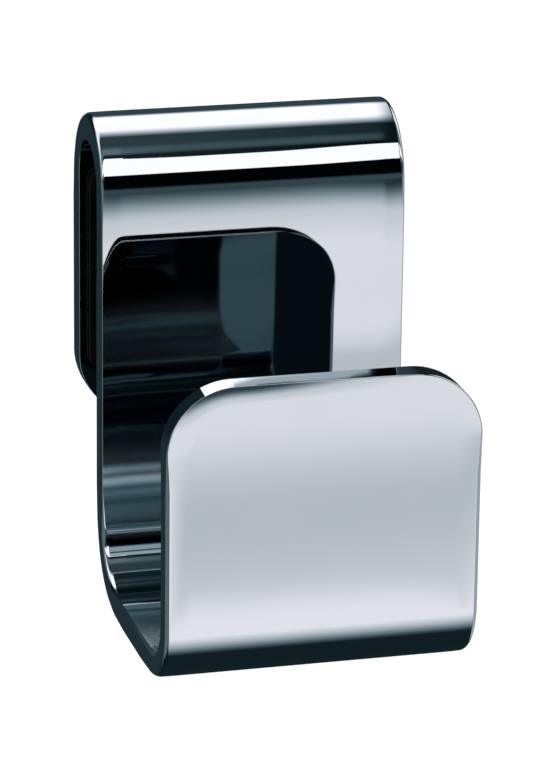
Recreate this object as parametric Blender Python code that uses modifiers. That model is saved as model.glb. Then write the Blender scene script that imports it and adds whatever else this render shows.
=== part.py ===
"""Towel hook that hangs on the top edge of a flat panel.

One flat metal strip is bent into a clip at the back, a long front leg, a floor and an upright lip.
Two thin rubber pads are stuck inside the clip, where it bears on the two faces of the panel.

Units are metres and +Z is up. The towel side is -Y. The origin is the middle of the panel's top edge,
where that edge bears against the inside of the clip's bend.
"""

import math

import bmesh
import bpy

# The panel that the clip goes over
PANEL_THICKNESS = 0.008
PANEL_PLAY = 0.0005

# The rubber pads and the film that sticks them on
PAD_THICKNESS = 0.0011
ADHESIVE_FILM = 0.0003
PAD_SIDE_MARGIN = 0.0007
PAD_FOOT_MARGIN = 0.0079
PAD_CORNER = 0.002
PAD_EDGE = 0.0002

# The bent strip
STRIP_WIDTH = 0.045
STRIP_THICKNESS = 0.004
EDGE_RADIUS = 0.0006
HOOK_HEIGHT = 0.0708
CLIP_DROP = 0.048
TROUGH_DEPTH = 0.0355
LIP_HEIGHT = 0.0445
FLOOR_BEND_RADIUS = 0.0075
LIP_BEND_RADIUS = 0.00565
FOOT_CORNER = 0.0098
LIP_CORNER = 0.0098

# Steps along each curve
CLIP_BEND_STEPS = 36
FLOOR_BEND_STEPS = 18
CORNER_STEPS = 14
EDGE_STEPS = 4
PAD_CORNER_STEPS = 6
PAD_EDGE_STEPS = 3

# Largest share of its wall that a rounded edge takes, and of its side that a round corner takes
EDGE_SHARE = 0.45
CORNER_SHARE = 0.49

# Angles between faces, in degrees, over which an edge is rounded or is drawn sharp
ROUNDED_OVER = 50
SHARP_OVER = 30

# Sizes that follow from those above
HALF_THICKNESS = STRIP_THICKNESS / 2
CLIP_GAP = PANEL_THICKNESS + PANEL_PLAY + 2 * (PAD_THICKNESS + ADHESIVE_FILM)
CLIP_BEND_RADIUS = CLIP_GAP / 2
CLIP_CENTRE_Z = -math.sqrt(CLIP_BEND_RADIUS**2 - (PANEL_THICKNESS / 2) ** 2)
TOP_Z = CLIP_CENTRE_Z + CLIP_BEND_RADIUS + STRIP_THICKNESS
FOOT_Z = TOP_Z - CLIP_DROP
UNDERSIDE_Z = TOP_Z - HOOK_HEIGHT
LIP_TOP_Z = UNDERSIDE_Z + LIP_HEIGHT
LEG_FRONT_Y = -(CLIP_BEND_RADIUS + STRIP_THICKNESS)
LIP_BACK_Y = LEG_FRONT_Y - TROUGH_DEPTH
EASED_EDGE = min(EDGE_RADIUS, EDGE_SHARE * STRIP_THICKNESS)

CHROME = ("polished_chrome", (0.80, 0.82, 0.85), 0.06, 1.0)
RUBBER = ("black_rubber", (0.018, 0.019, 0.021), 0.62, 0.0)


def clear_scene():
    """Removes every object that is in the scene."""
    for item in list(bpy.data.objects):
        bpy.data.objects.remove(item, do_unlink=True)


def make_collection(name):
    """A new collection under the scene's own."""
    collection = bpy.data.collections.new(name)
    bpy.context.scene.collection.children.link(collection)
    return collection


def make_material(name, colour, roughness, metallic):
    """A Principled material with one colour."""
    material = bpy.data.materials.new(name)
    material.use_nodes = True
    shader = material.node_tree.nodes["Principled BSDF"]
    shader.inputs["Base Color"].default_value = (*colour, 1.0)
    shader.inputs["Roughness"].default_value = roughness
    shader.inputs["Metallic"].default_value = metallic
    return material


def add_object(name, mesh, collection, material, parent):
    """An object for the mesh, shaded smooth but for its sharp edges, under the parent."""
    item = bpy.data.objects.new(name, mesh)
    mesh.materials.append(material)
    mesh.shade_smooth()
    mesh.set_sharp_from_angle(angle=math.radians(SHARP_OVER))
    item.parent = parent
    collection.objects.link(item)
    return item


def add_thickness(item, thickness, edge, edge_steps):
    """Gives an open surface its thickness, half to each side, and rounds the long edges that this makes."""
    shell = item.modifiers.new("thickness", "SOLIDIFY")
    shell.thickness = thickness
    shell.offset = 0
    shell.use_even_offset = True
    shell.use_rim = True
    rounding = item.modifiers.new("eased_edges", "BEVEL")
    rounding.limit_method = "ANGLE"
    rounding.angle_limit = math.radians(ROUNDED_OVER)
    rounding.width = edge
    rounding.segments = edge_steps
    rounding.use_clamp_overlap = False
    rounding.harden_normals = False


def bend(centre_y, centre_z, radius, start, turn, steps):
    """Points of the strip's middle line round a bend, in degrees from +Y towards +Z."""
    points = []
    for step in range(steps + 1):
        angle = math.radians(start + turn * step / steps)
        points.append((centre_y + radius * math.cos(angle), centre_z + radius * math.sin(angle)))
    return points


def middle_line():
    """(y, z) of the strip's middle surface along its full-width length, from the back leg up to the lip."""
    clip_radius = CLIP_BEND_RADIUS + HALF_THICKNESS
    floor_radius = FLOOR_BEND_RADIUS + HALF_THICKNESS
    lip_radius = LIP_BEND_RADIUS + HALF_THICKNESS
    leg_y = LEG_FRONT_Y + HALF_THICKNESS
    lip_y = LIP_BACK_Y - HALF_THICKNESS
    floor_z = UNDERSIDE_Z + HALF_THICKNESS
    line = bend(0, CLIP_CENTRE_Z, clip_radius, 0, 180, CLIP_BEND_STEPS)
    line += bend(leg_y - floor_radius, floor_z + floor_radius, floor_radius, 0, -90, FLOOR_BEND_STEPS)
    line += bend(lip_y + lip_radius, floor_z + lip_radius, lip_radius, -90, -90, FLOOR_BEND_STEPS)
    return line


def end_outline(y, tip_z, direction, corner):
    """Points round a flat end of the strip with two round corners, from its -X side to its +X side.

    direction is 1 where the strip ends upwards and -1 where it ends downwards.
    """
    radius = min(corner, CORNER_SHARE * STRIP_WIDTH)
    points = []
    for side in (-1, 1):
        quarter = []
        for step in range(CORNER_STEPS + 1):
            angle = math.radians(90 * step / CORNER_STEPS)
            x = side * (STRIP_WIDTH / 2 - radius + radius * math.cos(angle))
            quarter.append((x, y, tip_z - direction * radius * (1 - math.sin(angle))))
        points += quarter if side < 0 else quarter[::-1]
    return points


def make_strip(collection, material, parent):
    """The bent strip: its middle surface, then its thickness and its eased edges."""
    mesh = bpy.data.meshes.new("hook_strip")
    surface = bmesh.new()
    half_width = STRIP_WIDTH / 2
    line = middle_line()
    rows = [[surface.verts.new((side * half_width, y, z)) for side in (-1, 1)] for y, z in line]
    for lower, upper in zip(rows, rows[1:]):
        surface.faces.new((lower[0], lower[1], upper[1], upper[0]))
    back_y, lip_y = line[0][0], line[-1][0]
    foot = [surface.verts.new(point) for point in end_outline(back_y, FOOT_Z, -1, FOOT_CORNER)]
    surface.faces.new([rows[0][1], rows[0][0], *foot])
    tip = [surface.verts.new(point) for point in end_outline(lip_y, LIP_TOP_Z, 1, LIP_CORNER)]
    surface.faces.new([rows[-1][1], rows[-1][0], *tip])
    bmesh.ops.recalc_face_normals(surface, faces=surface.faces)
    surface.to_mesh(mesh)
    surface.free()
    strip = add_object("hook_strip", mesh, collection, material, parent)
    add_thickness(strip, STRIP_THICKNESS, EASED_EDGE, EDGE_STEPS)
    return strip


def pad_outline(width, height, corner):
    """Corner points of a flat pad with round corners, centred on the origin, going round once."""
    points = []
    for quarter, (side_x, side_y) in enumerate(((1, 1), (-1, 1), (-1, -1), (1, -1))):
        for step in range(PAD_CORNER_STEPS + 1):
            angle = math.radians(90 * (quarter + step / PAD_CORNER_STEPS))
            x = side_x * (width / 2 - corner) + corner * math.cos(angle)
            y = side_y * (height / 2 - corner) + corner * math.sin(angle)
            points.append((x, y, 0))
    return points


def make_pad(name, side, collection, material, parent):
    """A rubber pad on the flat inside of the clip: side is 1 on the back leg and -1 on the front leg."""
    foot = FOOT_Z + PAD_FOOT_MARGIN
    height = CLIP_CENTRE_Z - foot
    width = STRIP_WIDTH - 2 * (EASED_EDGE + PAD_SIDE_MARGIN)
    mesh = bpy.data.meshes.new(name)
    surface = bmesh.new()
    corner = min(PAD_CORNER, CORNER_SHARE * width, CORNER_SHARE * height)
    surface.faces.new([surface.verts.new(point) for point in pad_outline(width, height, corner)])
    surface.to_mesh(mesh)
    surface.free()
    pad = add_object(name, mesh, collection, material, parent)
    pad.rotation_euler = (math.radians(90), 0, 0)
    seat_y = side * (CLIP_BEND_RADIUS - ADHESIVE_FILM - PAD_THICKNESS / 2)
    pad.location = (0, seat_y, (foot + CLIP_CENTRE_Z) / 2)
    add_thickness(pad, PAD_THICKNESS, min(PAD_EDGE, EDGE_SHARE * PAD_THICKNESS), PAD_EDGE_STEPS)
    return pad


def main():
    """Builds the strip and its two pads under one empty at the panel's top edge."""
    clear_scene()
    collection = make_collection("towel_hook")
    datum = bpy.data.objects.new("panel_edge_datum", None)
    datum.empty_display_size = PANEL_THICKNESS
    collection.objects.link(datum)
    chrome = make_material(*CHROME)
    rubber = make_material(*RUBBER)
    make_strip(collection, chrome, datum)
    make_pad("back_pad", 1, collection, rubber, datum)
    make_pad("front_pad", -1, collection, rubber, datum)


main()
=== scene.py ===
"""The looks of a chromed towel hook that hangs over the top edge of a flat panel.

One flat bar is bent into a clip, a leg, a floor and a lip, then polished and chromed all over. A thin rubber
pad is stuck inside each leg of the clip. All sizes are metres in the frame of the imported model: +Z is up, the
towel side is -Y, and the origin is the middle of the panel's top edge.
"""

import logging
import math
from collections.abc import Sequence
from dataclasses import dataclass, field, replace
from enum import Enum, IntEnum
from itertools import accumulate, pairwise

import bmesh
import bpy
from mathutils import Matrix, Vector


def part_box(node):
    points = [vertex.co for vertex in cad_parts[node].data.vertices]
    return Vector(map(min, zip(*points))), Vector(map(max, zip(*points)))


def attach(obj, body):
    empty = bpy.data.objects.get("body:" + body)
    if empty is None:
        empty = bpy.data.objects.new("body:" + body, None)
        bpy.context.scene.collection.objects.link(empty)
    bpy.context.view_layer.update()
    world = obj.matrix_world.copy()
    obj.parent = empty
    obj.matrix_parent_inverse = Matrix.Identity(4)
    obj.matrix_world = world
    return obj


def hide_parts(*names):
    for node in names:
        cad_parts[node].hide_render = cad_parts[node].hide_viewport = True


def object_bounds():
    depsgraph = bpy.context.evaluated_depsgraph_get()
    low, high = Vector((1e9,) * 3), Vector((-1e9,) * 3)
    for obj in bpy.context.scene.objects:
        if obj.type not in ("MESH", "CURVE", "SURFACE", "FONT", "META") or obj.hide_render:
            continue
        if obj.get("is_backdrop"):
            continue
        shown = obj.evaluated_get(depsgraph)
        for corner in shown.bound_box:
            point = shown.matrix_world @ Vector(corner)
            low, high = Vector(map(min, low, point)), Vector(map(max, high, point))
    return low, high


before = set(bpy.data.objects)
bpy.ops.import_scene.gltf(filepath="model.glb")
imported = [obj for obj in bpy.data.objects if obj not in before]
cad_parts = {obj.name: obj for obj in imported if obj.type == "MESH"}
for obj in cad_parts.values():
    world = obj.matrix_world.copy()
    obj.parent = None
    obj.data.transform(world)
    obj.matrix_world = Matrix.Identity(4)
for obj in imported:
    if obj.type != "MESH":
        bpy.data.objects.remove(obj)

BODY = "root"
LOG = logging.getLogger("towel_hook")

Triple = tuple[float, float, float]
Colour = tuple[float, float, float]
Span = tuple[float, float]
Corners = tuple[Vector, Vector]
Key = tuple[int, int]
Ring = dict[Key, bmesh.types.BMVert]
Socket = bpy.types.NodeSocket

# Spans that lie before or after every place on the hook
BEFORE_ALL = (-2.0, -1.0)
AFTER_ALL = (1.0, 2.0)

# How far in from the bar's outline the roll of its edges begins
ROLL_REACH = 0.0034

# Degrees from a round corner's end to its middle
HALF_CORNER = 45.0


class Slot(Enum):
    """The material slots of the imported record."""

    CHROME = "polished_chrome"
    RUBBER = "black_rubber"


class Leg(Enum):
    """The clip's two legs, by the sign of their Y."""

    BACK = 1
    FRONT = -1


class Part(IntEnum):
    """The stretches of the bent bar, in order from its foot."""

    BACK_LEG = 0
    CLIP = 1
    FRONT_LEG = 2
    FLOOR_BEND = 3
    FLOOR = 4
    LIP_BEND = 5
    LIP = 6


@dataclass(frozen=True)
class Station:
    """A place on a strip's middle line.

    y and z are its place, and heading is the direction of travel, in radians from +Y towards +Z.
    """

    y: float
    z: float
    heading: float

    def place(self, across: float, height: float) -> Vector:
        """The point that lies across the strip and height above its middle surface."""
        ahead_y, ahead_z = math.cos(self.heading), math.sin(self.heading)
        return Vector((across, self.y + height * ahead_z, self.z - height * ahead_y))

    def turn(self, across: float, along: float, height: float) -> Vector:
        """A direction of the flat blank as it lies here, bent with the strip."""
        ahead_y, ahead_z = math.cos(self.heading), math.sin(self.heading)
        return Vector((across, along * ahead_y + height * ahead_z, along * ahead_z - height * ahead_y))


@dataclass(frozen=True)
class Reach:
    """A stretch of a strip: straight where turn is 0, and otherwise a bend through turn degrees.

    size is the length of a straight stretch, or the radius of a bend's middle line.
    """

    size: float
    turn: float = 0.0

    @property
    def length(self) -> float:
        """The length along the middle line."""
        return self.size * abs(math.radians(self.turn)) if self.turn else self.size

    def station(self, start: Station, along: float) -> Station:
        """Where a walk of the given length from start comes to.

        Args:
            start: The station at which this stretch begins.
            along: The length walked along it.

        Returns:
            The station reached, with its heading.
        """
        if not self.turn:
            ahead_y, ahead_z = math.cos(start.heading), math.sin(start.heading)
            return Station(start.y + along * ahead_y, start.z + along * ahead_z, start.heading)
        left = math.copysign(1.0, self.turn)
        heading = start.heading + left * along / self.size
        reach = left * self.size
        y = start.y + reach * (math.sin(heading) - math.sin(start.heading))
        z = start.z - reach * (math.cos(heading) - math.cos(start.heading))
        return Station(y, z, heading)


@dataclass(frozen=True)
class Ease:
    """How the surface goes on turning a little past the end of a bend, where polishing has flowed it over.

    along is where the bend ends, and lag is the turn that is still to come there, in degrees. The lag grows
    over the length before and dies away over the length after.
    """

    along: float
    lag: float
    before: float
    after: float

    def at(self, along: float) -> float:
        """The lag in radians at a length along the line."""
        reach = self.after if along > self.along else self.before
        return math.radians(self.lag) * max(0.0, 1.0 - abs(along - self.along) / reach) ** 2

    def moved(self, start: float) -> "Ease":
        """The same ease, told from a start."""
        return replace(self, along=start + self.along)


@dataclass
class MiddleLine:
    """The middle line of a strip, as stretches that follow one another.

    Straights are cut into rows about straight_step long, and bends into rows of about bend_step degrees.
    """

    start: Station
    reaches: Sequence[Reach]
    eases: Sequence[Ease] = ()
    straight_step: float = 0.005
    bend_step: float = 3.0

    @property
    def length(self) -> float:
        """The whole length along the line."""
        return sum(reach.length for reach in self.reaches)

    def spans(self) -> list[Span]:
        """The lengths from the start at which each stretch begins and ends."""
        return list(pairwise(accumulate((reach.length for reach in self.reaches), initial=0.0)))

    def at(self, along: float) -> Station:
        """The station at a length from the start.

        Args:
            along: The length from the start.

        Returns:
            The station.
        """
        here = self.start
        for reach in self.reaches[:-1]:
            if along <= reach.length:
                return reach.station(here, along)
            along -= reach.length
            here = reach.station(here, reach.length)
        return self.reaches[-1].station(here, along)

    def polished(self, along: float) -> Station:
        """The station at a length from the start, headed as the polished surface there seems to be."""
        station = self.at(along)
        return replace(station, heading=station.heading - sum(ease.at(along) for ease in self.eases))

    def rows(self, first: float, last: float) -> list[float]:
        """Lengths at which a mesh on this line has its rows, from first to last.

        Args:
            first: The length of the first row.
            last: The length of the last row.

        Returns:
            Rising lengths, with a row at each end of every bend.
        """
        marks = [first]
        for reach, (start, end) in zip(self.reaches, self.spans()):
            low, high = max(first, start), min(last, end)
            if high <= low:
                continue
            size = high - low
            share = size / reach.length
            parts = abs(reach.turn) * share / self.bend_step if reach.turn else size / self.straight_step
            count = max(1, round(parts))
            marks += [low + size * step / count for step in range(1, count + 1)]
        return marks


def smooth(share: float) -> float:
    """A share between 0 and 1 that eases in and out."""
    held = min(1.0, max(0.0, share))
    return held * held * (3.0 - 2.0 * held)


def stretch(span: Span, size: float = 1.0, start: float = 0.0) -> Span:
    """A span told in parts of a size from a start, as plain lengths."""
    return start + size * span[0], start + size * span[1]


@dataclass(frozen=True)
class Fade:
    """A stretch over which something comes up and a later one over which it goes down again."""

    rise: Span
    fall: Span

    def at(self, value: float) -> float:
        """How far the thing is up at a value, from 0 to 1."""
        up, down = (smooth((value - span[0]) / (span[1] - span[0])) for span in (self.rise, self.fall))
        return up * (1.0 - down)

    def moved(self, start: float) -> "Fade":
        """The same fade, told from a start."""
        return Fade(stretch(self.rise, start=start), stretch(self.fall, start=start))


@dataclass(frozen=True)
class EdgeProfile:
    """How a plate's face runs over into its side: a soft roll from polishing, then a tight round.

    reach is how far in from the outline the roll begins, and under is the radius at the other face, where it
    isn't the same. crown is how far the side itself leans over at its borders, in degrees, and is below 0
    where the side is hollow.
    """

    radius: float
    reach: float = 0.0
    roll_angle: float = 0.0
    under: float = 0.0
    crown: float = 0.0
    round_steps: int = 6
    roll_steps: int = 4

    @property
    def under_radius(self) -> float:
        """The radius at the other face."""
        return self.under or self.radius

    def mixed(self, other: "EdgeProfile", share: float) -> "EdgeProfile":
        """The profile that stands between this one and another.

        Args:
            other: The other profile, with the same reach and as many steps.
            share: 0 for this one and 1 for the other.

        Returns:
            The profile in between.
        """
        return replace(
            self,
            radius=self.radius + share * (other.radius - self.radius),
            roll_angle=self.roll_angle + share * (other.roll_angle - self.roll_angle),
            under=self.under_radius + share * (other.under_radius - self.under_radius),
            crown=self.crown + share * (other.crown - self.crown),
        )

    def quarter(self, half_thickness: float) -> list[Triple]:
        """The profile from the plate's side to its face.

        Args:
            half_thickness: Half the plate's thickness.

        Returns:
            (inset, height, slope) of each point: the inset from the outline, the height above the middle
            surface, and the angle in radians from the side's normal to the normal there.
        """
        meet = math.radians(90.0 - self.roll_angle)
        roll_width = self.reach - self.radius * (1.0 - math.cos(meet))
        soft = roll_width / math.cos(meet) if self.roll_angle else 0.0
        side_height = half_thickness - self.radius * math.sin(meet) - soft * (1.0 - math.sin(meet))
        points = []
        for step in range(self.round_steps + 1):
            slope = meet * step / self.round_steps
            inset = self.radius * (1.0 - math.cos(slope))
            facing = slope if step else math.radians(self.crown)
            points.append((inset, side_height + self.radius * math.sin(slope), facing))
        if soft:
            inset, height, _ = points[-1]
            for step in range(1, self.roll_steps + 1):
                slope = meet + (math.pi / 2 - meet) * step / self.roll_steps
                over = inset + soft * (math.cos(meet) - math.cos(slope))
                points.append((over, height + soft * (math.sin(slope) - math.sin(meet)), slope))
        return points

    def around(self, half: float) -> list[Triple]:
        """The profile from one face round the side to the other, told as quarter tells it."""
        below = replace(self, radius=self.under_radius).quarter(half)
        return self.quarter(half)[::-1] + [(inset, -height, -slope) for inset, height, slope in below]


@dataclass(frozen=True)
class RimPoint:
    """A point of a plate's flat outline, with the direction that points out of the plate there."""

    across: float
    along: float
    out_across: float
    out_along: float

    def inset(self, depth: float) -> tuple[float, float]:
        """(across, along) of the point that lies inside the outline by depth."""
        return self.across - depth * self.out_across, self.along - depth * self.out_along


@dataclass(frozen=True)
class Softening:
    """A part of a plate's outline where polishing has left another edge, fading out to each side of it."""

    profile: EdgeProfile
    across: Fade
    along: Fade

    def share(self, point: RimPoint) -> float:
        """How far the other edge holds at a point of the outline."""
        return self.across.at(point.across) * self.along.at(point.along)


@dataclass
class Skin:
    """The surface of a bent plate while it is laid. Its vertices keep their place on the flat blank."""

    line: MiddleLine
    surface: bmesh.types.BMesh = field(default_factory=bmesh.new)
    blank: bmesh.types.BMLayerItem = field(init=False)
    normal: bmesh.types.BMLayerItem = field(init=False)

    def __post_init__(self) -> None:
        """Makes the layers that hold the places and the exact normals."""
        self.blank = self.surface.verts.layers.float_vector.new("blank")
        self.normal = self.surface.verts.layers.float_vector.new("exact_normal")

    def add(self, across: float, along: float, height: float, facing: Triple) -> bmesh.types.BMVert:
        """Adds a point of the bent plate.

        Args:
            across: Its place across the flat blank.
            along: Its place along the blank.
            height: Its height above the middle surface.
            facing: Its normal on the blank.

        Returns:
            The vertex.
        """
        vert = self.surface.verts.new(self.line.at(along).place(across, height))
        vert[self.blank] = (across, along, height)
        vert[self.normal] = self.line.polished(along).turn(*facing)
        return vert

    def join(self, upper: Ring, lower: Ring) -> None:
        """Joins two rings of vertices, each in order round the plate, by a band of faces."""
        for key, after in pairwise([*upper, next(iter(upper))]):
            self.surface.faces.new((upper[key], upper[after], lower[after], lower[key]))

    def finished(self, name: str) -> bpy.types.Mesh:
        """Turns the surface into a mesh.

        Args:
            name: The mesh's name.

        Returns:
            The mesh, shaded by its exact normals.
        """
        bmesh.ops.recalc_face_normals(self.surface, faces=self.surface.faces)
        mesh = bpy.data.meshes.new(name)
        self.surface.to_mesh(mesh)
        self.surface.free()
        mesh.shade_smooth()
        normals = [Vector(item.vector) for item in mesh.attributes["exact_normal"].data]
        mesh.attributes.remove(mesh.attributes["exact_normal"])
        mesh.normals_split_custom_set_from_vertices(normals)
        return mesh


@dataclass
class Plate:
    """A plate with round corners and rounded edges, laid along a middle line and bent with it.

    The mesh is a grid on each face, joined by rings round the rim. Each round corner is shared out half to
    the rows and half to the columns, so that no face is a sliver. corner_lead is how far the rim's normal
    runs ahead at a round corner's end, in degrees, and lead_reach is the length of straight end over which
    that dies away.
    """

    name: str
    line: MiddleLine
    width: float
    thickness: float
    corner: float
    profile: EdgeProfile
    softenings: Sequence[Softening] = ()
    corner_lead: float = 0.0
    lead_reach: float = 0.005
    corner_steps: int = 8
    middle_columns: int = 8
    marks: list[float] = field(init=False)

    def __post_init__(self) -> None:
        """Works out the rows between the corners."""
        self.marks = self.line.rows(self.corner, self.line.length - self.corner)

    @property
    def columns(self) -> int:
        """How many columns of faces lie across the plate."""
        return 2 * self.corner_steps + self.middle_columns

    @property
    def row_count(self) -> int:
        """How many rows of faces lie along the plate."""
        return 2 * self.corner_steps + len(self.marks) - 1

    def corner_point(self, side: int, end: int, angle: float) -> RimPoint:
        """A point of a round corner.

        Args:
            side: -1 for the corner at -X, 1 for the one at +X.
            end: -1 for the start of the line, 1 for its end.
            angle: Degrees from the side's outward direction to the end's.

        Returns:
            The outline's point there.
        """
        out_across = side * math.cos(math.radians(angle))
        out_along = end * math.sin(math.radians(angle))
        centre_along = self.corner if end < 0 else self.line.length - self.corner
        across = side * (self.width / 2 - self.corner) + self.corner * out_across
        along = centre_along + self.corner * out_along
        facing = math.radians(angle - self.corner_lead * (angle / 90.0) ** 2)
        return RimPoint(across, along, side * math.cos(facing), end * math.sin(facing))

    def end_point(self, end: int, column: int) -> RimPoint:
        """The outline's point at a column of one end, whose first and last columns are half round a corner.

        Args:
            end: -1 for the start of the line, 1 for its end.
            column: The column.

        Returns:
            The point.
        """
        steps = self.corner_steps
        if column <= steps:
            return self.corner_point(-1, end, HALF_CORNER * (1.0 + column / steps))
        if column >= self.columns - steps:
            return self.corner_point(1, end, HALF_CORNER * (1.0 + (self.columns - column) / steps))
        inner = self.width / 2 - self.corner
        across = -inner + 2 * inner * (column - steps) / self.middle_columns
        near = max(0.0, 1.0 - (inner - abs(across)) / self.lead_reach)
        lead = math.radians(self.corner_lead) * near**2
        out_across = math.copysign(math.sin(lead), across)
        return RimPoint(across, 0.0 if end < 0 else self.line.length, out_across, end * math.cos(lead))

    def side_point(self, side: int, row: int) -> RimPoint:
        """The outline's point at a row of one long side, whose first and last rows are half round a corner.

        Args:
            side: -1 for the side at -X, 1 for the one at +X.
            row: The row.

        Returns:
            The point.
        """
        steps = self.corner_steps
        if row < steps:
            return self.corner_point(side, -1, HALF_CORNER * (1.0 - row / steps))
        if row > self.row_count - steps:
            return self.corner_point(side, 1, HALF_CORNER * (1.0 - (self.row_count - row) / steps))
        return RimPoint(side * self.width / 2, self.marks[row - steps], side, 0.0)

    def rim_points(self) -> dict[Key, RimPoint]:
        """The outline's points at the grid's border.

        Returns:
            The points by (column, row), in order round the plate.
        """
        last_column, last_row = self.columns, self.row_count
        border = {(column, 0): self.end_point(-1, column) for column in range(last_column + 1)}
        for row in range(1, last_row):
            border[last_column, row] = self.side_point(1, row)
        for column in range(last_column, -1, -1):
            border[column, last_row] = self.end_point(1, column)
        for row in range(last_row - 1, 0, -1):
            border[0, row] = self.side_point(-1, row)
        return border

    def profile_at(self, point: RimPoint) -> EdgeProfile:
        """The edge's profile at a point of the outline.

        Args:
            point: The point.

        Returns:
            The profile.
        """
        profile = self.profile
        for softening in self.softenings:
            profile = profile.mixed(softening.profile, softening.share(point))
        return profile

    def face_grid(self, inset: float) -> dict[Key, tuple[float, float]]:
        """(across, along) of each point of a face's grid, border and all.

        Args:
            inset: How far the grid's border lies inside the outline.

        Returns:
            The points by their (column, row).
        """
        columns, rows, steps = self.columns, self.row_count, self.corner_steps
        grid = {key: point.inset(inset) for key, point in self.rim_points().items()}
        for row in range(steps, rows - steps + 1):
            (left, along), (right, _) = grid[0, row], grid[columns, row]
            for column in range(1, columns):
                grid[column, row] = (left + (right - left) * column / columns, along)
        for low, high in ((0, steps), (rows - steps, rows)):
            fill_patch(grid, columns, low, high)
        return grid

    def lay_rim(self, skin: Skin) -> list[Ring]:
        """Lays rings of vertices round the rim and joins them.

        Args:
            skin: The surface to lay them on.

        Returns:
            The rings, from the upper face's border to the lower one's.
        """
        half = self.thickness / 2
        border = self.rim_points()
        profiles = {key: self.profile_at(point).around(half) for key, point in border.items()}
        rings = []
        for index in range(len(self.profile.around(half))):
            ring = {}
            for key, point in border.items():
                inset, height, slope = profiles[key][index]
                out = math.cos(slope)
                facing = (point.out_across * out, point.out_along * out, math.sin(slope))
                ring[key] = skin.add(*point.inset(inset), height, facing)
            rings.append(ring)
        for upper, lower in zip(rings, rings[1:]):
            skin.join(upper, lower)
        return rings

    def lay_face(self, skin: Skin, ring: Ring, side: int) -> None:
        """Lays one face inside its border.

        Args:
            skin: The surface to lay it on.
            ring: The face's border.
            side: 1 for the upper face and -1 for the lower one.
        """
        half = self.thickness / 2
        face_inset = self.profile.around(half)[0][0]
        verts = dict(ring)
        for key, (across, along) in self.face_grid(face_inset).items():
            if key not in verts:
                verts[key] = skin.add(across, along, side * half, (0.0, 0.0, side))
        for column in range(self.columns):
            for row in range(self.row_count):
                keys = ((column, row), (column, row + 1), (column + 1, row + 1), (column + 1, row))
                skin.surface.faces.new([verts[key] for key in keys])

    def build(self, material: bpy.types.Material, slot: Slot) -> bpy.types.Object:
        """Makes the plate's object.

        Args:
            material: The finish of the whole plate.
            slot: The record's slot that the finish belongs to. Not used.

        Returns:
            The object, riding on the hook's body.
        """
        skin = Skin(self.line)
        rings = self.lay_rim(skin)
        self.lay_face(skin, rings[0], 1)
        self.lay_face(skin, rings[-1], -1)
        mesh = skin.finished(self.name)
        mesh.materials.append(material)
        piece = bpy.data.objects.new(self.name, mesh)
        bpy.context.scene.collection.objects.link(piece)
        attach(piece, BODY)
        return piece


def fill_patch(grid: dict[Key, tuple[float, float]], right: int, low: int, high: int) -> None:
    """Fills a patch of a grid smoothly from its border.

    Args:
        grid: The points by (column, row), in which the patch's border stands already.
        right: The patch's last column. Its first is 0.
        low: Its first row.
        high: Its last row.
    """
    for row in range(low + 1, high):
        up = (row - low) / (high - low)
        for column in range(1, right):
            over = column / right
            grid[column, row] = tuple(
                (1 - up) * grid[column, low][axis]
                + up * grid[column, high][axis]
                + (1 - over) * grid[0, row][axis]
                + over * grid[right, row][axis]
                - (1 - over) * ((1 - up) * grid[0, low][axis] + up * grid[0, high][axis])
                - over * ((1 - up) * grid[right, low][axis] + up * grid[right, high][axis])
                for axis in (0, 1)
            )


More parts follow.
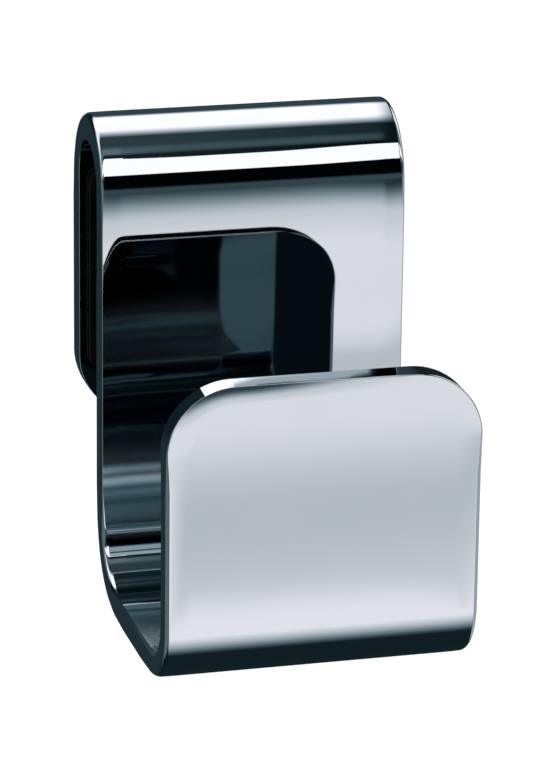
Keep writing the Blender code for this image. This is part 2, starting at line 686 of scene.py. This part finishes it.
@dataclass
class Nodes:
    """A short way to write a node tree."""

    tree: bpy.types.NodeTree

    def feed(self, node: bpy.types.Node, inputs: dict) -> None:
        """Sets or links a node's inputs.

        Args:
            node: The node.
            inputs: What each input takes, by its name or number: a value, or an output to link.
        """
        for key, value in inputs.items():
            if isinstance(value, Socket):
                self.tree.links.new(value, node.inputs[key])
            else:
                node.inputs[key].default_value = value

    def add(self, kind: str, inputs: dict | None = None, **settings: object) -> bpy.types.Node:
        """Adds a node.

        Args:
            kind: Blender's name for the node's type.
            inputs: What its inputs take, as feed has it.
            **settings: The node's own settings.

        Returns:
            The node.
        """
        node = self.tree.nodes.new(kind)
        for name, value in settings.items():
            setattr(node, name, value)
        self.feed(node, inputs or {})
        return node

    def math(self, operation: str, *values: object) -> Socket:
        """The result of a Math node on the values."""
        return self.add("ShaderNodeMath", dict(enumerate(values)), operation=operation).outputs[0]

    def spread(self, value: object, span: Span, low: float, high: float, kind: str = "LINEAR") -> Socket:
        """A value carried from a span to the range from low to high, and held at its ends."""
        inputs = {0: value, 1: span[0], 2: span[1], 3: low, 4: high}
        return self.add("ShaderNodeMapRange", inputs, clamp=True, interpolation_type=kind).outputs[0]

    def share(self, fade: Fade, low: object, high: object) -> Socket:
        """A fade's share from 0 to 1, whose rise looks at one output and whose fall looks at the other."""
        up = self.spread(low, fade.rise, 0.0, 1.0, "SMOOTHSTEP")
        return self.math("MULTIPLY", up, self.spread(high, fade.fall, 1.0, 0.0, "SMOOTHSTEP"))

    def blank(self) -> Socket:
        """The place on the flat blank that the vertices keep."""
        return self.add("ShaderNodeAttribute", attribute_name="blank").outputs["Vector"]

    def stretched(self, place: object, scale: Triple) -> Socket:
        """A place scaled along each axis."""
        return self.add("ShaderNodeVectorMath", {0: place, 1: scale}, operation="MULTIPLY").outputs[0]

    def noise(self, place: object, scale: float, detail: float = 2.0, roughness: float = 0.5) -> Socket:
        """A noise value at a place."""
        inputs = {"Vector": place, "Scale": scale, "Detail": detail, "Roughness": roughness}
        return self.add("ShaderNodeTexNoise", inputs).outputs[0]

    def bump(self, height: object, distance: float, strength: float = 1.0) -> Socket:
        """The normal of a surface raised by a height."""
        inputs = {"Strength": strength, "Distance": distance, "Height": height}
        return self.add("ShaderNodeBump", inputs).outputs[0]

    def mix(self, share: object, first: object, second: object) -> Socket:
        """A number between two others."""
        return self.add("ShaderNodeMix", {0: share, 2: first, 3: second}, data_type="FLOAT").outputs[0]

    def blend(self, share: object, first: object, second: object) -> Socket:
        """A colour between two others, each of which is a colour or an output that gives one."""
        ends = [value if isinstance(value, Socket) else (*value, 1.0) for value in (first, second)]
        return self.add("ShaderNodeMix", {0: share, 6: ends[0], 7: ends[1]}, data_type="RGBA").outputs[2]


def new_material(name: str) -> tuple[bpy.types.Material, Nodes, bpy.types.Node]:
    """Makes a material.

    Args:
        name: Its name.

    Returns:
        The material, its tree and its Principled shader.
    """
    material = bpy.data.materials.new(name)
    material.use_nodes = True
    return material, Nodes(material.node_tree), material.node_tree.nodes["Principled BSDF"]


@dataclass(frozen=True)
class MirrorChrome:
    """Chrome plating over polished steel, with faint haze and polishing lines that run along the bar.

    Each scale is that of a noise, and each span is the stretch of the noise over which its effect comes up.
    scuffed is how much rougher the part is that is out of the polishing wheel's reach. That part also takes a
    teal tint, which is painted cool shade of the trough's bottom.
    """

    name: str = "polished_chrome"
    tint: Colour = (0.60, 0.612, 0.625)
    tint_cloud: Colour = (0.585, 0.603, 0.622)
    tint_span: Span = (0.35, 0.7)
    cloud_scale: float = 55.0
    clear: float = 0.016
    haze: float = 0.034
    haze_span: Span = (0.42, 0.8)
    line_scale: float = 2600.0
    line_stretch: Triple = (1.0, 0.035, 1.0)
    line_roughness: float = 0.008
    line_span: Span = (0.45, 0.8)
    scuffed: float = 0.24
    # Teal tint of the trough's inner bottom: painted cool shade, not a colour of wear
    trough_shade_tint: Colour = (0.60, 0.70, 0.735)
    inside: float = 0.001
    wave_scale: float = 85.0
    wave_stretch: Triple = (1.0, 0.6, 1.0)
    wave_height: float = 0.0000012

    def make(self, wear_and_shade: Fade) -> bpy.types.Material:
        """Makes the material. Its places are those of the flat bar before it was bent.

        Args:
            wear_and_shade: The stretch along the bar whose inner side is out of the polishing wheel's reach. It
                is rougher there, and tinted teal as painted shade.

        Returns:
            The material.
        """
        material, nodes, shader = new_material(self.name)
        blank = nodes.blank()
        clouds = nodes.noise(blank, self.cloud_scale, detail=3.0, roughness=0.55)
        drawn = nodes.stretched(blank, self.line_stretch)
        lines = nodes.noise(drawn, self.line_scale, detail=3.0, roughness=0.6)
        waves = nodes.noise(nodes.stretched(blank, self.wave_stretch), self.wave_scale, detail=1.0)
        parts = nodes.add("ShaderNodeSeparateXYZ", {0: blank})
        inside = nodes.math("GREATER_THAN", parts.outputs["Z"], self.inside)
        scuff_and_shade = nodes.math("MULTIPLY", nodes.share(wear_and_shade, parts.outputs["Y"], parts.outputs["Y"]), inside)
        hazy = nodes.spread(clouds, self.haze_span, self.clear, self.haze)
        lined = nodes.spread(lines, self.line_span, 0.0, self.line_roughness)
        rough = nodes.math("ADD", nodes.math("ADD", hazy, lined), nodes.math("MULTIPLY", scuff_and_shade, self.scuffed))
        plated = nodes.blend(nodes.spread(clouds, self.tint_span, 0.0, 1.0), self.tint, self.tint_cloud)
        # Painted shade: the stretch the polishing wheel misses takes a teal tint as well as its roughness
        colour = nodes.blend(scuff_and_shade, plated, self.trough_shade_tint)
        bump = nodes.bump(waves, self.wave_height)
        nodes.feed(shader, {"Base Color": colour, "Roughness": rough, "Normal": bump, "Metallic": 1.0})
        return material


@dataclass(frozen=True)
class PadRubber:
    """Matt black rubber, darkened further as painted slot shade, with a fine moulded grain and a little dust.
    """

    name: str = "black_rubber"
    # Darker than any rubber: the rubber's own black, deepened as painted shade inside the clip's slot
    dark: Colour = (0.0012, 0.0014, 0.0016)
    dusty: Colour = (0.003, 0.0033, 0.0036)
    dust_scale: float = 180.0
    dust_span: Span = (0.4, 0.75)
    roughness: Span = (0.55, 0.72)
    rough_span: Span = (0.3, 0.7)
    grain_scale: float = 4200.0
    grain_height: float = 0.00002
    grain_strength: float = 0.7
    specular: float = 0.06

    def make(self) -> bpy.types.Material:
        """Makes the material.

        Returns:
            The material.
        """
        material, nodes, shader = new_material(self.name)
        blank = nodes.blank()
        grain = nodes.noise(blank, self.grain_scale)
        dust = nodes.noise(blank, self.dust_scale, detail=4.0, roughness=0.65)
        colour = nodes.blend(nodes.spread(dust, self.dust_span, 0.0, 1.0), self.dark, self.dusty)
        rough = nodes.spread(dust, self.rough_span, *self.roughness)
        bump = nodes.bump(grain, self.grain_height, self.grain_strength)
        nodes.feed(shader, {"Base Color": colour, "Roughness": rough, "Normal": bump})
        nodes.feed(shader, {"Specular IOR Level": self.specular})
        return material


@dataclass(frozen=True)
class TackyFilm:
    """The clear adhesive film under a pad."""

    name: str = "adhesive_film"
    pale: Colour = (0.11, 0.105, 0.095)
    deep: Colour = (0.06, 0.058, 0.054)
    speck_scale: float = 900.0
    speck_span: Span = (0.35, 0.7)
    roughness: Span = (0.3, 0.5)
    rough_span: Span = (0.3, 0.7)

    def make(self) -> bpy.types.Material:
        """Makes the material.

        Returns:
            The material.
        """
        material, nodes, shader = new_material(self.name)
        specks = nodes.noise(nodes.blank(), self.speck_scale, detail=3.0)
        colour = nodes.blend(nodes.spread(specks, self.speck_span, 0.0, 1.0), self.deep, self.pale)
        rough = nodes.spread(specks, self.rough_span, *self.roughness)
        nodes.feed(shader, {"Base Color": colour, "Roughness": rough})
        return material


def bar_edge(radius: float, roll_angle: float = 1.5, under: float = 0.0, crown: float = 0.0) -> EdgeProfile:
    """An edge of the bar. The roll of each begins as far in as that of the others."""
    return EdgeProfile(radius, ROLL_REACH, roll_angle, under, crown)


@dataclass(frozen=True)
class BarEdges:
    """The bar's edges: plain along its straights, and otherwise as the polishing wheel has left them.

    left stands for the bar's -X half. Its fall and the tip's are told in half widths from the bar's middle,
    the foot's fall and the tip's rise in corner radii from its ends, and the lip's rise in lip lengths. The
    rest are metres: the stretches of the rolled edge and its shoulder from the clip's end, and the lip's fall
    from where the tip's corners start.
    """

    plain: EdgeProfile = bar_edge(0.00024)
    left: EdgeProfile = bar_edge(0.00004)
    foot: EdgeProfile = bar_edge(0.0009, under=0.00005)
    clip: EdgeProfile = bar_edge(0.00085, under=0.00005)
    bend: EdgeProfile = bar_edge(0.00085)
    rolled: EdgeProfile = bar_edge(0.0006, roll_angle=12.0, under=0.00005)
    shoulder: EdgeProfile = bar_edge(0.0002, roll_angle=7.2)
    lip: EdgeProfile = bar_edge(0.0008, roll_angle=2.0)
    tip: EdgeProfile = bar_edge(0.0002, roll_angle=5.4, under=0.00004, crown=-0.8)
    far_tip: EdgeProfile = bar_edge(0.0002, roll_angle=0.4)
    bend_margin: float = 0.003
    left_fall: Span = (-0.5, 0.0)
    foot_fall: Span = (0.3, 1.0)
    rolled_stretch: Fade = Fade((-0.006, 0.001), (-0.002, 0.003))
    shoulder_stretch: Fade = Fade((-0.002, 0.003), (0.008, 0.0145))
    lip_rise: Span = (-1.0, -0.8)
    lip_fall: Span = (-0.004, 0.002)
    tip_rise: Span = (-1.0, -0.3)
    tip_fall: Span = (-0.7, 1.0)

    def softenings(self, line: MiddleLine, half_width: float, corner: float) -> list[Softening]:
        """Where the edges aren't plain.

        Args:
            line: The bar's middle line.
            half_width: Half the bar's width.
            corner: The radius of its round corners.

        Returns:
            The other edges, each of which holds over those before it.
        """
        spans = line.spans()
        clip_end = spans[Part.CLIP][1]
        tip_start = line.length - corner
        lip_rise = stretch(self.lip_rise, line.reaches[Part.LIP].length, tip_start)
        whole = Fade(BEFORE_ALL, AFTER_ALL)
        left = Fade(BEFORE_ALL, stretch(self.left_fall, half_width))
        tip_left = Fade(BEFORE_ALL, stretch(self.tip_fall, half_width))
        tip = Fade(stretch(self.tip_rise, corner, line.length), AFTER_ALL)
        others = [
            Softening(self.left, left, Fade(BEFORE_ALL, spans[Part.LIP])),
            Softening(self.foot, whole, Fade(BEFORE_ALL, stretch(self.foot_fall, corner))),
        ]
        bends = {Part.CLIP: self.clip, Part.FLOOR_BEND: self.bend, Part.LIP_BEND: self.bend}
        for part, profile in bends.items():
            rise, fall = ((end - self.bend_margin, end + self.bend_margin) for end in spans[part])
            others.append(Softening(profile, whole, Fade(rise, fall)))
        others += [
            Softening(self.rolled, left, self.rolled_stretch.moved(clip_end)),
            Softening(self.shoulder, left, self.shoulder_stretch.moved(clip_end)),
            Softening(self.lip, whole, Fade(lip_rise, stretch(self.lip_fall, start=tip_start))),
            Softening(self.far_tip, whole, tip),
            Softening(self.tip, tip_left, tip),
        ]
        return others


@dataclass
class HookStrip:
    """The bent bar: clip, leg, floor and lip in one piece.

    wear_and_shade_rise and wear_and_shade_fall tell where its inner side is out of the polishing wheel's reach,
    from the start of the floor's bend and from the end of the lip's. That stretch is rougher, and its teal tint
    is painted shade.
    clip_flow and floor_flow tell how polishing has flowed the surface past the clip's end and past the front
    leg's.
    """

    thickness: float = 0.004
    clip_drop: float = 0.048
    lip_height: float = 0.0445
    floor_bend: float = 0.0075
    lip_bend: float = 0.00565
    corner: float = 0.0098
    corner_lead: float = 3.3
    wear_and_shade_rise: Span = (0.018, 0.035)
    wear_and_shade_fall: Span = (-0.002, 0.004)
    clip_flow: Sequence[Ease] = (
        Ease(along=0.0, lag=3.0, before=0.005, after=0.0105),
        Ease(along=0.020, lag=-0.52, before=0.014, after=0.040),
        Ease(along=0.032, lag=-1.3, before=0.015, after=0.015),
    )
    floor_flow: Sequence[Ease] = (
        Ease(along=0.006, lag=-2.3, before=0.0065, after=0.0065),
        Ease(along=0.0032, lag=-6.3, before=0.0032, after=0.0032),
    )
    edges: BarEdges = BarEdges()
    box: Corners = field(default_factory=lambda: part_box("hook_strip"))

    @property
    def width(self) -> float:
        """The bar's width."""
        return self.box[1].x - self.box[0].x

    def middle_line(self) -> MiddleLine:
        """The bar's middle line, from the foot over the clip and the floor to the lip's top.

        Returns:
            The line, with the flow of its surface.
        """
        low, high = self.box
        half = self.thickness / 2
        clip = high.y - half
        floor = self.floor_bend + half
        lip = self.lip_bend + half
        foot_z = high.z - self.clip_drop
        centre_z = high.z - high.y
        floor_z = low.z + half
        trough = -clip - (low.y + half)
        reaches = {
            Part.BACK_LEG: Reach(centre_z - foot_z),
            Part.CLIP: Reach(clip, 180.0),
            Part.FRONT_LEG: Reach(centre_z - floor_z - floor),
            Part.FLOOR_BEND: Reach(floor, -90.0),
            Part.FLOOR: Reach(trough - floor - lip),
            Part.LIP_BEND: Reach(lip, -90.0),
            Part.LIP: Reach(self.lip_height - half - lip),
        }
        line = MiddleLine(Station(clip, foot_z, math.pi / 2), tuple(reaches.values()))
        spans = line.spans()
        flows = ((spans[Part.CLIP][1], self.clip_flow), (spans[Part.FRONT_LEG][1], self.floor_flow))
        line.eases = [ease.moved(end) for end, flow in flows for ease in flow]
        return line

    def wear_and_shade(self, line: MiddleLine) -> Fade:
        """The stretch of the bar whose inner side is hard to polish, and which is tinted teal as painted shade.
        """
        floor, lip = (line.spans()[part] for part in (Part.FLOOR_BEND, Part.LIP_BEND))
        return Fade(stretch(self.wear_and_shade_rise, start=floor[0]), stretch(self.wear_and_shade_fall, start=lip[1]))

    def build(self, finish: MirrorChrome) -> bpy.types.Object:
        """Makes the bar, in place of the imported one.

        Args:
            finish: Its finish.

        Returns:
            The bar.
        """
        line = self.middle_line()
        others = self.edges.softenings(line, self.width / 2, self.corner)
        shape = (line, self.width, self.thickness, self.corner, self.edges.plain)
        bar = Plate("hook_bar", *shape, others, self.corner_lead)
        piece = bar.build(finish.make(self.wear_and_shade(line)), Slot.CHROME)
        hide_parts("hook_strip")
        return piece


@dataclass
class ClipPad:
    """A rubber pad inside one leg of the clip, and the film that sticks it to the bar.

    clearance is left free on each side of the film.
    """

    leg: Leg
    film_thickness: float = 0.0003
    clearance: float = 0.00001
    corner: float = 0.002
    corner_steps: int = 5
    edge: EdgeProfile = EdgeProfile(radius=0.0002, round_steps=4)
    film_margin: float = 0.0004
    film_edge: EdgeProfile = EdgeProfile(radius=0.00004, round_steps=2)

    @property
    def node(self) -> str:
        """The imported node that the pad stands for."""
        return "back_pad" if self.leg is Leg.BACK else "front_pad"

    def layer(self, name: str, span: Span, margin: float, edge: EdgeProfile) -> Plate:
        """A flat layer of the pad.

        Args:
            name: The name of its piece.
            span: The Y of its two faces.
            margin: How far it stays inside the pad's outline.
            edge: How its edges are rounded.

        Returns:
            The plate.
        """
        low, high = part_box(self.node)
        start = Station(sum(span) / 2, low.z + margin, math.pi / 2)
        line = MiddleLine(start, (Reach(high.z - low.z - 2 * margin),))
        width = high.x - low.x - 2 * margin
        corner = self.corner - margin
        return Plate(name, line, width, span[1] - span[0], corner, edge, corner_steps=self.corner_steps)

    def build(self, rubber: bpy.types.Material, film: bpy.types.Material) -> list[bpy.types.Object]:
        """Makes the pad and its film.

        Args:
            rubber: The pad's finish.
            film: The film's finish.

        Returns:
            The two pieces.
        """
        low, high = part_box(self.node)
        pad = self.layer(f"{self.node}_rubber", (low.y, high.y), 0.0, self.edge).build(rubber, Slot.RUBBER)
        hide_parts(self.node)
        near = high.y if self.leg is Leg.BACK else low.y - self.film_thickness
        span = (near + self.clearance, near + self.film_thickness - self.clearance)
        tape = self.layer(f"{self.node}_film", span, self.film_margin, self.film_edge)
        return [pad, tape.build(film, Slot.RUBBER)]


@dataclass(frozen=True)
class Sight:
    """A direction that a mirror looks in, as outputs of the world's tree.

    angle is in degrees from the front up over the top, and across is the part along X. deep is 1 for light
    that comes by way of the trough's depths, and otherwise 0.
    """

    nodes: Nodes
    angle: Socket
    across: Socket
    deep: Socket

    def along(self, reach: Fade) -> Socket:
        """How far a stretch along X holds the direction."""
        return self.nodes.share(reach, self.across, self.across)


@dataclass(frozen=True)
class Drift:
    """How far a light's border leaves its place, in degrees, over a stretch along X."""

    degrees: float
    reach: Fade

    def moved(self, sight: Sight) -> Socket:
        """The angle as seen from a border that has drifted."""
        drift = sight.nodes.math("MULTIPLY", sight.along(self.reach), -self.degrees)
        return sight.nodes.math("ADD", sight.angle, drift)


@dataclass(frozen=True)
class Band:
    """A light, a reflector or a dark flag that runs along X, as the polished bar sees it.

    turn is its place by the angle and reach is its place along X. low_drift and high_drift move its two long
    borders. deep_reach is its place along X as the trough's depths see it, from nearer by.
    """

    level: float
    turn: Fade
    reach: Fade = Fade((-0.9, -0.6), (0.8, 0.95))
    low_drift: Drift | None = None
    high_drift: Drift | None = None
    deep_reach: Fade | None = None

    def share(self, sight: Sight) -> Socket:
        """How far the band fills a direction.

        Args:
            sight: The direction.

        Returns:
            The output that gives the share.
        """
        drifts = (self.low_drift, self.high_drift)
        low, high = (drift.moved(sight) if drift else sight.angle for drift in drifts)
        along = sight.along(self.reach)
        if self.deep_reach:
            along = sight.nodes.mix(sight.deep, along, sight.along(self.deep_reach))
        return sight.nodes.math("MULTIPLY", sight.nodes.share(self.turn, low, high), along)


# Where the lights and the table lie along X, and how their long borders drift there
LIGHTS_REACH = Fade((-0.75, -0.6), (0.34, 0.42))
DEEP_REACH = Fade((-0.75, -0.6), (0.222, 0.236))
BOX_REACH = Fade((-0.75, -0.6), (0.262, 0.345))
TABLE_REACH = Fade((-0.64, -0.36), (0.46, 0.90))
STRIP_RISE = Drift(2.3, Fade((0.256, 0.284), (0.8, 0.9)))
STRIP_SAG = Drift(-3.4, Fade((0.205, 0.232), (0.250, 0.276)))
TABLE_EDGE = Drift(-1.0, Fade((0.262, 0.295), (0.8, 0.9)))
NEAR_EDGE = Drift(-0.7, Fade((0.265, 0.33), (0.8, 0.9)))


def side_bands(reach: Fade, table: float) -> tuple[Band, ...]:
    """The walls, table and lights off to one side, which the hook shows to those who walk round it.

    Args:
        reach: Where the side lies along X.
        table: The table's level there.

    Returns:
        The bands, one over the other.
    """
    return (
        Band(0.3, Fade((-191.0, -190.0), (190.0, 191.0)), reach),
        Band(table, Fade((-165.0, -140.0), (-24.0, -9.0)), reach),
        Band(0.06, Fade((-9.0, -5.0), (10.0, 22.0)), reach),
        Band(1.7, Fade((26.0, 29.0), (47.0, 50.0)), reach),
        Band(1.7, Fade((92.0, 112.0), (138.0, 152.0)), reach),
    )


@dataclass(frozen=True)
class FloorPaper:
    """White matt paper with faint clouds."""

    name: str = "pale_floor"
    clouded: Colour = (0.985, 0.985, 0.985)
    clean: Colour = (1.0, 1.0, 1.0)
    cloud_scale: float = 3.0
    cloud_span: Span = (0.3, 0.7)
    roughness: float = 0.9

    def make(self) -> bpy.types.Material:
        """Makes the material.

        Returns:
            The material.
        """
        material, nodes, shader = new_material(self.name)
        place = nodes.add("ShaderNodeTexCoord").outputs["Object"]
        clouds = nodes.noise(place, self.cloud_scale, detail=3.0)
        colour = nodes.blend(nodes.spread(clouds, self.cloud_span, 0.0, 1.0), self.clouded, self.clean)
        nodes.feed(shader, {"Base Color": colour, "Roughness": self.roughness, "Specular IOR Level": 0.0})
        return material


@dataclass(frozen=True)
class PhotoCamera:
    """The camera, which stands where the photograph was taken.

    yaw, pitch and roll are degrees: round to the right, down, and over to the left.
    """

    place: Triple = (-0.14953, -0.57337, 0.15633)
    yaw: float = 15.096
    pitch: float = 18.042
    roll: float = 0.690
    lens: float = 197.31
    sensor_width: float = 36.0

    def build(self) -> None:
        """Makes the camera and has the scene look through it."""
        data = bpy.data.cameras.new("camera")
        data.sensor_width = self.sensor_width
        data.lens = self.lens
        camera = bpy.data.objects.new("camera", data)
        bpy.context.scene.collection.objects.link(camera)
        camera.location = self.place
        yaw, pitch, roll = (math.radians(angle) for angle in (self.yaw, self.pitch, self.roll))
        turn = Matrix.Rotation(-yaw, 3, "Z") @ Matrix.Rotation(math.pi / 2 - pitch, 3, "X")
        camera.rotation_euler = (turn @ Matrix.Rotation(roll, 3, "Z")).to_euler()
        bpy.context.scene.camera = camera


@dataclass
class Studio:
    """The pale floor and the light.

    dark is the level where no band lies. A mirror sees each channel's level raised to its coolness and times
    its tint, and no brighter than first_cap. Each further bounce is dimmed by echo, and may be further_cap
    times as bright. Light with more than deep_bounces of them comes by way of the trough's depths.
    """

    floor_drop: float = 0.7
    floor_size: float = 8.0
    paper: FloorPaper = FloorPaper()
    white: Colour = (1.0, 1.0, 1.0)
    plain_strength: float = 1.08
    dark: float = 0.006
    tint: Colour = (0.888, 0.941, 1.0)
    coolness: Colour = (1.28, 1.05, 1.0)
    echo: Colour = (0.34, 0.46, 0.485)
    first_cap: float = 1.62
    further_cap: float = 40.0
    deep_bounces: float = 1.5
    bands: Sequence[Band] = (
        # dim room all round, and the paler backdrop behind
        Band(0.027, Fade((-182.0, -181.0), (181.0, 182.0)), Fade((-0.7, -0.3), (1.1, 1.2))),
        Band(0.047, Fade((-176.0, -168.0), (-150.0, -140.0)), Fade((-0.5, -0.25), (0.05, 0.2))),
        # glow on the wall behind
        Band(0.09, Fade((144.0, 152.0), (174.0, 186.0)), Fade((-0.1, 0.1), (0.27, 0.36))),
        # overhead softbox
        Band(1.95, Fade((85.5, 111.4), (138.0, 152.0)), BOX_REACH),
        # ceiling in front of the softbox, with a faint second image of it
        Band(0.012, Fade((47.0, 48.0), (84.0, 92.0)), Fade((0.235, 0.27), (0.8, 0.95))),
        Band(0.085, Fade((51.5, 57.0), (84.0, 92.0)), Fade((-0.9, -0.6), (0.20, 0.33))),
        Band(0.14, Fade((52.0, 60.0), (62.0, 73.0)), Fade((-0.9, -0.6), (0.262, 0.30))),
        Band(0.26, Fade((52.5, 57.5), (61.0, 70.0)), Fade((-0.9, -0.6), (0.195, 0.235))),
        # strip light over the camera, with its bright tube
        Band(2.0, Fade((19.6, 20.2), (47.6, 48.4)), LIGHTS_REACH, STRIP_RISE, STRIP_SAG, DEEP_REACH),
        Band(6.0, Fade((21.5, 25.0), (38.0, 44.0)), LIGHTS_REACH, STRIP_RISE, STRIP_SAG, DEEP_REACH),
        # black flag below the strip light
        Band(0.0015, Fade((-3.5, 2.0), (19.3, 19.7)), high_drift=STRIP_RISE),
        # grey gap over the table
        Band(0.108, Fade((-12.0, -8.0), (-3.5, 0.5))),
        # pale table in front, darker along its far edge, with a greyer stretch, and lit again near by
        Band(1.02, Fade((-40.0, -24.0), (-14.2, -9.2)), TABLE_REACH, high_drift=TABLE_EDGE),
        Band(1.21, Fade((-40.0, -24.0), (-16.4, -14.0)), TABLE_REACH, high_drift=TABLE_EDGE),
        Band(0.88, Fade((-22.8, -20.6), (-20.3, -19.1)), Fade((0.13, 0.215), (0.46, 0.90))),
        Band(1.31, Fade((-70.5, -30.0), (-21.95, -21.35)), TABLE_REACH, high_drift=NEAR_EDGE),
        # low wall straight behind, and the surroundings to each side
        Band(0.35, Fade((-191.0, -190.0), (-172.0, -166.0)), Fade((-0.14, -0.04), (0.10, 0.18))),
        *side_bands(Fade((0.50, 0.62), (1.1, 1.2)), 0.6),
        *side_bands(Fade((-1.2, -1.1), (-0.76, -0.62)), 0.25),
        # table behind on the left
        Band(0.16, Fade((-169.0, -161.0), (-138.0, -120.0)), Fade((-0.76, -0.62), (-0.56, -0.44))),
    )

    def mirror_light(self, nodes: Nodes, depth: object) -> Socket:
        """What a mirror sees in each direction: the bands, one over the other.

        Args:
            nodes: The tree to write in.
            depth: The output that counts the mirror bounces on the way.

        Returns:
            The output that gives the colour.
        """
        direction = nodes.add("ShaderNodeTexCoord").outputs["Generated"]
        parts = nodes.add("ShaderNodeSeparateXYZ", {0: direction})
        forward = nodes.math("MULTIPLY", parts.outputs["Y"], -1.0)
        angle = nodes.math("DEGREES", nodes.math("ARCTAN2", parts.outputs["Z"], forward))
        further = nodes.math("SUBTRACT", depth, 1.0)
        deep = nodes.math("GREATER_THAN", further, self.deep_bounces)
        sight = Sight(nodes, angle, parts.outputs["X"], deep)
        level: float | Socket = self.dark
        for band in self.bands:
            level = nodes.mix(band.share(sight), level, band.level)
        cap = nodes.math("MULTIPLY", nodes.math("POWER", self.further_cap, further), self.first_cap)
        channels = []
        for power, tint in zip(self.coolness, self.tint):
            tinted = nodes.math("MULTIPLY", nodes.math("POWER", level, power), tint)
            channels.append(nodes.math("MINIMUM", tinted, cap))
        colour = nodes.add("ShaderNodeCombineXYZ", dict(enumerate(channels))).outputs[0]
        dimming = nodes.add("ShaderNodeGamma", {0: (*self.echo, 1.0), 1: further}).outputs[0]
        return nodes.add("ShaderNodeVectorMath", {0: colour, 1: dimming}, operation="MULTIPLY").outputs[0]

    def build_world(self) -> None:
        """Lights the scene: mirrors see strip lights and dark flags, and all else sees plain white."""
        world = bpy.data.worlds.new("studio")
        bpy.context.scene.world = world
        world.use_nodes = True
        world.node_tree.nodes.clear()
        nodes = Nodes(world.node_tree)
        path = nodes.add("ShaderNodeLightPath")
        seen = self.mirror_light(nodes, path.outputs["Glossy Depth"])
        mirrored = nodes.add("ShaderNodeBackground", {0: seen})
        plain = nodes.add("ShaderNodeBackground", {0: (*self.white, 1.0), 1: self.plain_strength})
        inputs = {0: path.outputs["Is Glossy Ray"], 1: plain.outputs[0], 2: mirrored.outputs[0]}
        chosen = nodes.add("ShaderNodeMixShader", inputs)
        nodes.add("ShaderNodeOutputWorld", {0: chosen.outputs[0]})

    def build_floor(self) -> None:
        """Makes the pale floor, which the mirror finish doesn't see."""
        bpy.ops.mesh.primitive_plane_add(size=self.floor_size)
        floor = bpy.context.object
        floor.name = "studio_floor"
        floor.location = (0.0, 0.0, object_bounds()[0].z - self.floor_drop)
        floor.data.materials.append(self.paper.make())
        floor.visible_glossy = False
        floor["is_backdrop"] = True


def main() -> None:
    """Builds the hook's pieces, reports them and builds the studio round them."""
    logging.basicConfig(level=logging.INFO, format="%(name)s: %(message)s")
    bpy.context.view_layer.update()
    pieces = [HookStrip().build(MirrorChrome())]
    rubber, film = PadRubber().make(), TackyFilm().make()
    for leg in Leg:
        pieces += ClipPad(leg).build(rubber, film)
    bpy.context.view_layer.update()
    for piece in pieces:
        size = " x ".join(f"{1000 * side:.1f}" for side in piece.dimensions)
        LOG.info("%s: %d faces, %s mm", piece.name, len(piece.data.polygons), size)
    studio = Studio()
    studio.build_world()
    studio.build_floor()
    PhotoCamera().build()
    bpy.context.scene.view_settings.view_transform = "Standard"


if __name__ == "__main__":
    main()
